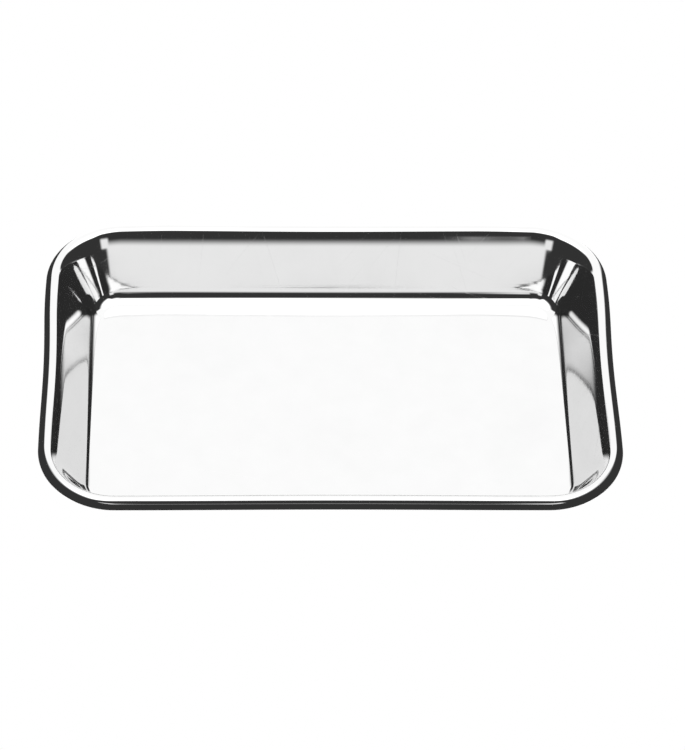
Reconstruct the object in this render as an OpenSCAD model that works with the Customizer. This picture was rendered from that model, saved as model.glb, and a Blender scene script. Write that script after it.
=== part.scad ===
// Instrument tray: one drawn stainless-steel shell whose edge is rolled round a steel wire.
// Millimetres. The long side is along X, +Z is up, and the origin is under the middle of the tray,
// on the surface that it stands on.

/* [Overall] */
// Length over the rolled rim, along X
tray_length = 300; // [200:5:400]
// Width over the rolled rim, along Y
tray_width = 200; // [140:5:300]
// Height from the underside to the top of the rim
tray_height = 35; // [28:1:44]

/* [Sheet] */
// Thickness of the steel sheet
sheet_t = 0.8; // [0.6:0.1:1]
// Angle of the walls from the vertical
wall_draft = 28.5; // [15:0.5:30]
// Inside radius where the floor turns up into the walls
floor_fillet = 9; // [6:0.5:10]
// How much further the top of the walls leans out where it flares into the rim, as an angle
flare_angle = 12.5; // [4:0.5:14]
// Radius of that flare
flare_r = 38; // [20:1:40]

/* [Rim] */
// Outside diameter of the rolled rim
bead_d = 7.6; // [6:0.2:9]
// Plan radius of the tray's corners, at the middle of the rolled rim
corner_r = 36; // [36:1:50]
// Gap between the rolled edge's lip and the back of the wall, as an angle round the bead
lip_gap_angle = 54; // [50:1:75]
// Gap between the rolled sheet and the wire in it
wire_gap = 0.05; // [0.02:0.01:0.2]
// Gap between the two ends of the wire, at the middle of the back side
wire_butt_gap = 0.6; // [0.2:0.1:2]

/* [Hidden] */
$fn = 96;

bead_r = bead_d / 2;
roll_inner_r = bead_r - sheet_t;
wire_r = roll_inner_r - wire_gap;

// The corners turn about these points, and the section is measured outwards from them.
corner_x = tray_length / 2 - bead_r - corner_r;
corner_y = tray_width / 2 - bead_r - corner_r;

// Unit steps in the section: up along the leaning wall, and outwards through it, along its
// straight stretch and at the top of its flare.
wall_up = [sin(wall_draft), cos(wall_draft)];
wall_out = [cos(wall_draft), -sin(wall_draft)];
top_lean = wall_draft + flare_angle;
top_up = [sin(top_lean), cos(top_lean)];
top_out = [cos(top_lean), -sin(top_lean)];

// Points in the section: the middle of the bead, the top of the flare's inner face where it runs
// into the bead, the middle and the foot of the flare, and the middle of the turn-up that floor
// and wall both run into smoothly.
bead_mid = [corner_r, tray_height - bead_r];
wall_top = bead_mid - bead_r * top_out;
flare_mid = wall_top + flare_r * top_out;
flare_foot = flare_mid - flare_r * wall_out;
fillet_z = sheet_t + floor_fillet;
wall_run = (flare_foot[1] - floor_fillet * wall_out[1] - fillet_z) / wall_up[1];
fillet_mid = flare_foot - floor_fillet * wall_out - wall_run * wall_up;

// Everything inside a skin that lies a distance outside the tray's inner face.
module inside_of_skin(dist) {
  r = floor_fillet + dist;
  translate(fillet_mid)
    circle(r = r);
  difference() {
    polygon([
      [-corner_r, fillet_z - r],
      [fillet_mid[0], fillet_z - r],
      fillet_mid,
      fillet_mid + r * wall_out,
      flare_foot + dist * wall_out,
      flare_mid,
      wall_top,
      [wall_top[0], tray_height],
      [-corner_r, tray_height]
    ]);
    translate(flare_mid)
      circle(r = flare_r - dist);
  }
}

// The edge of the sheet rolled into a bead, its lip stopping short of the back of the wall.
module rolled_edge() {
  wall_back = -roll_inner_r * top_out;
  translate(bead_mid)
    difference() {
      circle(r = bead_r);
      circle(r = roll_inner_r);
      polygon([[0, 0], wall_back, wall_back - roll_inner_r * tan(lip_gap_angle) * top_up]);
    }
}

// The sheet's section, outwards from the corner's axis.
module sheet_section() {
  intersection() {
    square([corner_r, tray_height]);
    difference() {
      inside_of_skin(sheet_t);
      inside_of_skin(0);
    }
  }
  rolled_edge();
}

// A section carried straight along one side, for a length, standing dist out from the middle.
module straight_side(length, dist) {
  translate([dist, length / 2, 0])
    rotate([90, 0, 0])
      linear_extrude(length)
        children();
}

// A section carried right round the tray: two short sides, two long sides and four corners.
module round_the_tray() {
  for (turn = [0, 180])
    rotate([0, 0, turn]) {
      straight_side(2 * corner_y, corner_x) children();
      rotate([0, 0, 90])
        straight_side(2 * corner_x, corner_y) children();
      translate([corner_x, corner_y, 0])
        rotate_extrude(angle = 90) children();
      translate([-corner_x, corner_y, 0])
        rotate([0, 0, 90])
          rotate_extrude(angle = 90) children();
    }
}

// Drawn from one sheet: flat floor, walls all round, and the edge rolled outwards and under.
module tray_shell() {
  color("silver") {
    translate([-corner_x, -corner_y, 0])
      cube([2 * corner_x, 2 * corner_y, sheet_t]);
    round_the_tray() sheet_section();
  }
}

// The wire in the rolled rim, bent from one length, its two ends meeting at the back.
module rim_wire() {
  color("gray")
    difference() {
      round_the_tray()
        translate(bead_mid)
          circle(r = wire_r);
      translate([-wire_butt_gap / 2, corner_y, 0])
        cube([wire_butt_gap, tray_width, tray_height]);
    }
}

tray_shell();
rim_wire();
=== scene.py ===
"""A polished instrument tray on a white table, in a dark studio lit by soft white panels."""

import math
from collections import namedtuple

import bmesh
import bpy
from mathutils import Matrix, Vector

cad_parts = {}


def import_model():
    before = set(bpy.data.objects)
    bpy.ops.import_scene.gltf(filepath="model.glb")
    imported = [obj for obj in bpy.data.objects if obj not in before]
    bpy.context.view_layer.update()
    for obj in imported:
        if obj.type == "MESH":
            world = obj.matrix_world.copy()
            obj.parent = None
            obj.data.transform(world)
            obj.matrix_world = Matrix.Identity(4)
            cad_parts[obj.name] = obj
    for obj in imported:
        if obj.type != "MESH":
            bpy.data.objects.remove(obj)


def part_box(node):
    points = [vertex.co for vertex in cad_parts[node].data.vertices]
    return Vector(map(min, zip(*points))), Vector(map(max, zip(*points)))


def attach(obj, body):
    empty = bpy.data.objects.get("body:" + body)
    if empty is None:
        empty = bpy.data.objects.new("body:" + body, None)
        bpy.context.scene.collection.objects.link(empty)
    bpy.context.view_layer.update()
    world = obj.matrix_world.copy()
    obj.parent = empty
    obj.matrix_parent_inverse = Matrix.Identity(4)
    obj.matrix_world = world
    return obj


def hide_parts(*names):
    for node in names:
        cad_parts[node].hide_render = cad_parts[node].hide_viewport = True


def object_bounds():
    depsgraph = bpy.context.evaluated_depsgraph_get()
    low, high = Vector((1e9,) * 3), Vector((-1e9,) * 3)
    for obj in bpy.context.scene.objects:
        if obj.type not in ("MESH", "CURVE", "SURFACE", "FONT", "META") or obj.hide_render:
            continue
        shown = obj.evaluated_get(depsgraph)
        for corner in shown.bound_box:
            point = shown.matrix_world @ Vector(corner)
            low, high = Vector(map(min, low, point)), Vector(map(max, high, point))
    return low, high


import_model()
cad_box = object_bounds()

# The sheet's section, in metres and degrees, as the CAD part has it.
SHEET = 0.0008
WALL_DRAFT = 28.5
FLOOR_FILLET = 0.009
FLARE_ANGLE = 12.5
FLARE_RADIUS = 0.038
BEAD_RADIUS = 0.0038
CORNER_RADIUS = 0.036
# Where the rolled edge ends, as an angle round the bead from straight outwards.
LIP_ANGLE = -167.0
WIRE_GAP = 0.00005
WIRE_BUTT_GAP = 0.0006

# Drawing and rolling leave the rim pulled in a little: along the middles of the long and the
# short sides, and at the two corners at the back, this far along the rim from their middles.
BOW_LONG = 0.0006
BOW_SHORT = 0.0012
PULL = 0.0016
PULL_REACH = 0.06

# Mesh density: metres between stops along the sides, and steps in each stretch of the section.
SIDE_STEP = 0.004
CORNER_STEPS = 40
FILLET_STEPS = 20
WALL_STEPS = 14
FLARE_STEPS = 12
ROLL_STEPS = 56
WIRE_STEPS = 24

# How much light the bare metals send back, as grey.
STEEL_GREY = 0.69
WIRE_GREY = 0.55

# The studio: a dome round the tray, and how bright it is between the panels.
DOME_RADIUS = 0.5
DOME_HEIGHT = 0.03
DOME_STEP = 1.5
STUDIO_GREY = 0.045

# Soft panels on the dome, later ones over earlier ones. Each has its azimuth from the back,
# either way, half its width and the softness of its sides; its lowest and highest elevation and
# the softness there; and its radiance. Angles are in degrees.
Panel = namedtuple("Panel", "azimuth half_width side_soft low high end_soft radiance")
PANELS = {
    "overhead": Panel(0, 400, 10, 52, 120, 16, 2.1),
    "back": Panel(0, 44, 7, -95, 56, 5, 1.40),
    "low_sides": Panel(72, 18, 14, -95, 1, 5, 1.9),
    "front": Panel(180, 21, 8, 1, 22, 18, 1.15),
    "front_corners": Panel(155, 8, 6, 11, 33, 6, 1.15),
}
# The overhead panel starts higher up near the front: from here, over this half width.
FRONT_CUT = 70
FRONT_CUT_HALF_WIDTH = 45
FRONT_CUT_SOFT = 20

# Low dark flags stand just outside the rim: their gap to it, their heights, and how far round
# the corners at the back they go, sinking to their height at the ends.
FLAG_GAP = 0.0045
FLAG_LEFT = 0.051
FLAG_RIGHT = 0.0415
FLAG_FRONT = 0.0365
FLAG_END = 0.02
FLAG_TURN = 75.0

# White surfaces for the camera alone. The table lies a little below the tray's underside.
TABLE_HALF = 3.0
TABLE_DROP = 0.0005
BACKDROP_HALF = 6.0

# The camera: degrees, metres, and the lens in millimetres on a sensor of this width.
CAMERA_ELEVATION = 47.5661
CAMERA_AZIMUTH = -2.5407
CAMERA_ROLL = 1.919
CAMERA_DISTANCE = 2.11451984
CAMERA_TARGET = (0.00690064, -0.00827492)
CAMERA_LENS = 194.68992
CAMERA_SENSOR = 36


# ---------------------------------------------------------------------------- section and path


def arc(centre, radius, start, end, steps):
    """Points on an arc in the section plane, angles in degrees."""
    points = []
    for i in range(steps + 1):
        angle = math.radians(start + (end - start) * i / steps)
        points.append(centre + radius * Vector((math.cos(angle), math.sin(angle))))
    return points


def outward(lean):
    """The section's unit step out through a wall that leans back from the vertical."""
    angle = math.radians(lean)
    return Vector((math.cos(angle), -math.sin(angle)))


def bead_middle(height):
    return Vector((CORNER_RADIUS, height - BEAD_RADIUS))


def sheet_face(height, depth):
    """One face of the sheet, from the floor's edge to the rolled lip, depth below the inner face.
    Points are distance from the corner's axis and height."""
    wall = outward(WALL_DRAFT)
    top_lean = WALL_DRAFT + FLARE_ANGLE
    bead = bead_middle(height)
    flare = bead + (FLARE_RADIUS - BEAD_RADIUS) * outward(top_lean)
    flare_foot = flare - FLARE_RADIUS * wall
    fillet_z = SHEET + FLOOR_FILLET
    beside_foot = flare_foot - FLOOR_FILLET * wall
    run = (beside_foot.y - fillet_z) * math.tan(math.radians(WALL_DRAFT))
    fillet = Vector((beside_foot.x - run, fillet_z))

    points = [Vector((0.0, SHEET - depth))]
    points += arc(fillet, FLOOR_FILLET + depth, -90, -WALL_DRAFT, FILLET_STEPS)
    foot = points[-1]
    top = flare_foot + depth * wall
    points += [foot.lerp(top, i / WALL_STEPS) for i in range(1, WALL_STEPS)]
    points += arc(flare, FLARE_RADIUS - depth, 180 - WALL_DRAFT, 180 - top_lean, FLARE_STEPS)
    points += arc(bead, BEAD_RADIUS - depth, 180 - top_lean, LIP_ANGLE, ROLL_STEPS)[1:]
    return points


def corner_pull(corner, along):
    """How far the rim is pulled in, so far along it from the middle of a corner."""
    if corner.y < 0 or along > PULL_REACH:
        return 0.0
    return PULL * math.cos(math.pi / 2 * along / PULL_REACH) ** 2


def side_count(length):
    """An even number of steps along a side."""
    return 2 * round(length / SIDE_STEP / 2)


def stations(half_x, half_y):
    """Stops round the rim, from the middle of the back side: axis, outward angle, inward pull."""
    corners = [(half_x, half_y), (half_x, -half_y), (-half_x, -half_y), (-half_x, half_y)]
    half_corner = CORNER_RADIUS * math.pi / 4
    stops = []
    for turn in range(4):
        start = Vector(corners[turn - 1])
        end = Vector(corners[turn])
        length = (end - start).length
        bow = (BOW_LONG, BOW_SHORT)[turn % 2]
        facing = 90 - 90 * turn
        count = side_count(length)
        for i in range(count + 1):
            part = i / count
            pull = bow * math.sin(math.pi * part) ** 2
            pull += corner_pull(start, half_corner + length * part)
            pull += corner_pull(end, half_corner + length * (1 - part))
            stops.append((start.lerp(end, part), facing, pull))
        for i in range(1, CORNER_STEPS):
            pull = corner_pull(end, half_corner * abs(1 - 2 * i / CORNER_STEPS))
            stops.append((end, facing - 90 * i / CORNER_STEPS, pull))
    middle = side_count(2 * half_x) // 2
    return stops[middle:] + stops[:middle]


def place(stop, point, height):
    """A point of the section, carried to one stop round the rim. The floor isn't pulled in."""
    axis, facing, pull = stop
    rise = max(point.y - SHEET, 0.0) / (height - SHEET)
    reach = point.x - pull * rise
    angle = math.radians(facing)
    return (axis.x + reach * math.cos(angle), axis.y + reach * math.sin(angle), point.y)


def loft(rows, closed):
    """Vertices and quads between rows of equal length. closed joins the last row to the first."""
    count = len(rows[0])
    vertices = [point for row in rows for point in row]
    faces = []
    for i in range(len(rows) if closed else len(rows) - 1):
        this = i * count
        after = (i + 1) % len(rows) * count
        faces += [(this + k, this + k + 1, after + k + 1, after + k) for k in range(count - 1)]
    return vertices, faces


def link(name, data):
    obj = bpy.data.objects.new(name, data)
    bpy.context.scene.collection.objects.link(obj)
    return obj


def make_object(name, vertices, faces, material):
    """A smooth mesh object, with doubled vertices merged."""
    mesh = bpy.data.meshes.new(name)
    mesh.from_pydata(vertices, [], faces)
    bm = bmesh.new()
    bm.from_mesh(mesh)
    bmesh.ops.remove_doubles(bm, verts=bm.verts, dist=1e-6)
    bmesh.ops.recalc_face_normals(bm, faces=bm.faces)
    for face in bm.faces:
        face.smooth = True
    bm.to_mesh(mesh)
    bm.free()
    mesh.materials.append(material)
    return link(name, mesh)


# ---------------------------------------------------------------------------- the tray's pieces


def tray_core():
    """Half lengths between the corners' axes, and the height."""
    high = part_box("tray_shell")[1]
    inset = BEAD_RADIUS + CORNER_RADIUS
    return high.x - inset, high.y - inset, high.z


def flat_face(half_x, half_y, z):
    """A flat grid between the corners' axes, stepped as the sides are."""
    count_x = side_count(2 * half_x)
    count_y = side_count(2 * half_y)
    rows = [
        [(-half_x + 2 * half_x * i / count_x, -half_y + 2 * half_y * j / count_y, z)
         for j in range(count_y + 1)]
        for i in range(count_x + 1)
    ]
    return loft(rows, False)


def tray_body(material):
    """The drawn sheet: a closed skin of inner face, rolled bead, lip and back face."""
    half_x, half_y, height = tray_core()
    section = sheet_face(height, 0.0) + sheet_face(height, SHEET)[::-1]
    rows = [[place(stop, point, height) for point in section] for stop in stations(half_x, half_y)]
    vertices, faces = loft(rows, True)
    for z in (SHEET, 0.0):
        base = len(vertices)
        more, quads = flat_face(half_x, half_y, z)
        vertices += more
        faces += [tuple(base + k for k in quad) for quad in quads]
    return make_object("tray_body", vertices, faces, material)


def wire_ring(material):
    """The wire in the rolled rim, from one cut end round to the other at the back."""
    half_x, half_y, height = tray_core()
    radius = BEAD_RADIUS - SHEET - WIRE_GAP
    circle = arc(bead_middle(height), radius, 0, 360, WIRE_STEPS)
    rows = [[place(stop, point, height) for point in circle] for stop in stations(half_x, half_y)]
    first = [(x + WIRE_BUTT_GAP / 2, y, z) for x, y, z in rows[0]]
    last = [(x - WIRE_BUTT_GAP / 2, y, z) for x, y, z in rows[0]]
    vertices, faces = loft([first] + rows[1:] + [last], False)
    end = len(vertices) - WIRE_STEPS - 1
    faces.append(tuple(range(WIRE_STEPS)))
    faces.append(tuple(range(end, end + WIRE_STEPS)))
    return make_object("wire_ring", vertices, faces, material)


# ---------------------------------------------------------------------------- materials


class Graph:
    """A metal's node tree. Its methods add nodes and give back their output sockets."""

    def __init__(self, name):
        self.material = bpy.data.materials.new(name)
        self.material.use_nodes = True
        self.tree = self.material.node_tree
        self.shader = self.tree.nodes["Principled BSDF"]
        self.shader.inputs["Metallic"].default_value = 1.0
        self.position = self.tree.nodes.new("ShaderNodeTexCoord").outputs["Object"]

    def node(self, kind, inputs, operation=None):
        """A new node's first output. Inputs are plain values or sockets to link from."""
        node = self.tree.nodes.new(kind)
        if operation:
            node.operation = operation
        for key, value in inputs.items():
            if isinstance(value, bpy.types.NodeSocket):
                self.tree.links.new(value, node.inputs[key])
            else:
                node.inputs[key].default_value = value
        return node.outputs[0]

    def noise(self, cells, detail, turn=0.0, stretch=(1, 1, 1)):
        """Noise with so many cells a metre, turned about Z and then squeezed along the axes."""
        turned = self.node("ShaderNodeMapping", {
            "Vector": self.position, "Rotation": (0, 0, math.radians(turn))})
        squeezed = self.node("ShaderNodeMapping", {"Vector": turned, "Scale": stretch})
        return self.node("ShaderNodeTexNoise", {
            "Vector": squeezed, "Scale": cells, "Detail": detail})

    def remap(self, value, low, high, to_low, to_high):
        """The value's range from low to high carried over to another, and clamped there."""
        return self.node("ShaderNodeMapRange", {
            "Value": value, "From Min": low, "From Max": high,
            "To Min": to_low, "To Max": to_high})

    def math(self, operation, first, second):
        return self.node("ShaderNodeMath", {0: first, 1: second}, operation)

    def bump(self, height, distance, strength, below=None):
        """A bump of this height map, on top of the one below."""
        inputs = {"Height": height, "Distance": distance, "Strength": strength}
        if below:
            inputs["Normal"] = below
        return self.node("ShaderNodeBump", inputs)

    def finish(self, red_green, blue, roughness, normal):
        """Link the shader up, and give back the material."""
        colour = self.node("ShaderNodeCombineColor", {
            "Red": red_green, "Green": red_green, "Blue": blue})
        for name, socket in (("Base Color", colour), ("Roughness", roughness), ("Normal", normal)):
            self.tree.links.new(socket, self.shader.inputs[name])
        return self.material


def hairlines(graph):
    """Fine scratches from use and washing, in four directions: 0 for none, 1 on a scratch."""
    total = None
    for turn in (12, 57, 101, 148):
        streaks = graph.noise(cells=9.0, detail=1.0, turn=turn, stretch=(1, 160, 1))
        line = graph.remap(streaks, 0.735, 0.76, 0.0, 1.0)
        total = line if total is None else graph.math("MAXIMUM", total, line)
    return total


def polished_steel():
    """Mirror-polished sheet: drawing lines along the walls, polish, smudges and hairlines."""
    graph = Graph("polished_steel")
    smudge = graph.noise(cells=14.0, detail=4.0)
    mottle = graph.noise(cells=70.0, detail=3.0)
    drawn = graph.noise(cells=16.0, detail=2.0, stretch=(1, 1, 70))
    ripple = graph.noise(cells=45.0, detail=1.0)
    scratch = hairlines(graph)

    shade = graph.remap(mottle, 0.3, 0.7, STEEL_GREY - 0.006, STEEL_GREY + 0.006)
    shade = graph.math("SUBTRACT", shade, graph.remap(smudge, 0.55, 0.75, 0.0, 0.012))

    roughness = graph.remap(smudge, 0.45, 0.75, 0.03, 0.075)
    roughness = graph.math("ADD", roughness, graph.remap(drawn, 0.4, 0.7, 0.0, 0.02))
    roughness = graph.math("ADD", roughness, graph.math("MULTIPLY", scratch, 0.10))

    normal = graph.bump(ripple, distance=0.0001, strength=0.10)
    normal = graph.bump(drawn, distance=0.00002, strength=0.12, below=normal)
    normal = graph.bump(scratch, distance=-0.00001, strength=0.05, below=normal)
    return graph.finish(shade, shade, roughness, normal)


def drawn_wire():
    """Drawn wire: dull, with a fine grain and a little warm oxide."""
    graph = Graph("drawn_wire")
    oxide = graph.noise(cells=120.0, detail=4.0)
    grain = graph.noise(cells=900.0, detail=2.0)
    shade = graph.remap(oxide, 0.35, 0.7, WIRE_GREY, WIRE_GREY - 0.12)
    blue = graph.math("MULTIPLY", shade, 0.96)
    roughness = graph.remap(oxide, 0.3, 0.7, 0.28, 0.45)
    normal = graph.bump(grain, distance=0.00002, strength=0.4)
    return graph.finish(shade, blue, roughness, normal)


def glow(name, strength):
    """An emitter of plain white light."""
    material = bpy.data.materials.new(name)
    material.use_nodes = True
    nodes = material.node_tree.nodes
    nodes.clear()
    emission = nodes.new("ShaderNodeEmission")
    emission.inputs["Strength"].default_value = strength
    output = nodes.new("ShaderNodeOutputMaterial")
    material.node_tree.links.new(emission.outputs["Emission"], output.inputs["Surface"])
    return material


# ---------------------------------------------------------------------------- studio


def smooth_step(value):
    """0 below -0.5, 1 above 0.5, and smooth between."""
    value = min(max(value + 0.5, 0.0), 1.0)
    return value * value * (3 - 2 * value)


def radiance(azimuth, elevation):
    """How bright the dome is in one direction."""
    total = STUDIO_GREY
    for name, panel in PANELS.items():
        low = panel.low
        if name == "overhead":
            inside = FRONT_CUT_HALF_WIDTH - (180 - abs(azimuth))
            low += (FRONT_CUT - low) * smooth_step(inside / FRONT_CUT_SOFT)
        inside = panel.half_width - abs(abs(azimuth) - panel.azimuth)
        cover = smooth_step(inside / panel.side_soft)
        cover *= smooth_step((elevation - low) / panel.end_soft)
        cover *= smooth_step((panel.high - elevation) / panel.end_soft)
        total += (panel.radiance - total) * cover
    return total


def hide_from_camera(obj):
    obj.visible_camera = False
    obj.visible_shadow = False


def flags():
    """Dark cards round the front and the sides, seen only as reflections in the rim. They sink
    away round the corners at the back."""
    half_x, half_y, height = tray_core()
    reach = CORNER_RADIUS + BEAD_RADIUS + FLAG_GAP
    turns = (
        (half_x, half_y, FLAG_TURN, 0, FLAG_END, FLAG_RIGHT),
        (half_x, -half_y, 0, -90, FLAG_RIGHT, FLAG_FRONT),
        (-half_x, -half_y, -90, -180, FLAG_FRONT, FLAG_LEFT),
        (-half_x, half_y, -180, -180 - FLAG_TURN, FLAG_LEFT, FLAG_END),
    )
    rows = []
    for centre_x, centre_y, start, end, start_top, end_top in turns:
        for i in range(CORNER_STEPS + 1):
            part = i / CORNER_STEPS
            angle = math.radians(start + (end - start) * part)
            x, y = centre_x + reach * math.cos(angle), centre_y + reach * math.sin(angle)
            rows.append([(x, y, 0.0), (x, y, start_top + (end_top - start_top) * part)])
    vertices, faces = loft(rows, False)
    obj = make_object("flags", vertices, faces, glow("flag_grey", STUDIO_GREY))
    hide_from_camera(obj)


def dome_material():
    """White light, as strong as the mesh's own bright attribute says."""
    material = glow("dome_light", 1.0)
    nodes = material.node_tree.nodes
    attribute = nodes.new("ShaderNodeAttribute")
    attribute.attribute_name = "bright"
    material.node_tree.links.new(attribute.outputs["Fac"], nodes["Emission"].inputs["Strength"])
    material.cycles.emission_sampling = "NONE"
    return material


def dome():
    """The studio's surroundings as the steel sees them."""
    rows = []
    bright = []
    for i in range(round(360 / DOME_STEP)):
        azimuth = -180 + i * DOME_STEP
        across = math.radians(azimuth)
        row = []
        for j in range(round(180 / DOME_STEP) + 1):
            elevation = -90 + j * DOME_STEP
            up = math.radians(elevation)
            row.append((DOME_RADIUS * math.sin(across) * math.cos(up),
                        DOME_RADIUS * math.cos(across) * math.cos(up),
                        DOME_HEIGHT + DOME_RADIUS * math.sin(up)))
            bright.append(radiance(azimuth, elevation))
        rows.append(row)
    vertices, faces = loft(rows, True)
    mesh = bpy.data.meshes.new("dome")
    mesh.from_pydata(vertices, [], faces)
    mesh.attributes.new("bright", "FLOAT", "POINT").data.foreach_set("value", bright)
    mesh.materials.append(dome_material())
    obj = link("dome", mesh)
    hide_from_camera(obj)


def plain_stage(name, vertices, faces):
    """A white surface that only the camera sees."""
    obj = make_object(name, vertices, faces, glow(name, 1.0))
    obj.visible_glossy = False
    obj.visible_diffuse = False
    obj.visible_shadow = False
    obj.data.materials[0].cycles.emission_sampling = "NONE"


def square(half, z):
    return [(-half, -half, z), (half, -half, z), (half, half, z), (-half, half, z)]


def table():
    plain_stage("table", square(TABLE_HALF, -TABLE_DROP), [(0, 1, 2, 3)])


def backdrop():
    """A white box far away, all round."""
    corners = square(BACKDROP_HALF, -BACKDROP_HALF) + square(BACKDROP_HALF, BACKDROP_HALF)
    sides = [(i, (i + 1) % 4, (i + 1) % 4 + 4, i + 4) for i in range(4)]
    plain_stage("backdrop", corners, sides + [(0, 1, 2, 3), (4, 5, 6, 7)])


def camera():
    """A long lens at the photo's angle, aimed near the middle of the rim."""
    elevation, azimuth, roll = (
        math.radians(v) for v in (CAMERA_ELEVATION, CAMERA_AZIMUTH, CAMERA_ROLL))
    back = Vector((math.sin(azimuth) * math.cos(elevation),
                   -math.cos(azimuth) * math.cos(elevation),
                   math.sin(elevation)))
    level = Vector((math.cos(azimuth), math.sin(azimuth), 0))
    rise = back.cross(level)
    right = math.cos(roll) * level + math.sin(roll) * rise
    up = -math.sin(roll) * level + math.cos(roll) * rise
    target = Vector((*CAMERA_TARGET, cad_box[1].z - BEAD_RADIUS))
    matrix = Matrix((right, up, back)).transposed().to_4x4()
    matrix.translation = target + back * CAMERA_DISTANCE
    obj = link("camera", bpy.data.cameras.new("camera"))
    obj.matrix_world = matrix
    obj.data.lens = CAMERA_LENS
    obj.data.sensor_width = CAMERA_SENSOR
    bpy.context.scene.camera = obj


def world():
    background = bpy.data.worlds.new("world")
    background.use_nodes = True
    colour = (STUDIO_GREY, STUDIO_GREY, STUDIO_GREY, 1)
    background.node_tree.nodes["Background"].inputs["Color"].default_value = colour
    bpy.context.scene.world = background
    bpy.context.scene.view_settings.view_transform = "Standard"


body = tray_body(polished_steel())
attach(body, "root")
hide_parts("tray_shell")
wire = wire_ring(drawn_wire())
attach(wire, "root")
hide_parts("rim_wire")

world()
dome()
flags()
table()
backdrop()
camera()
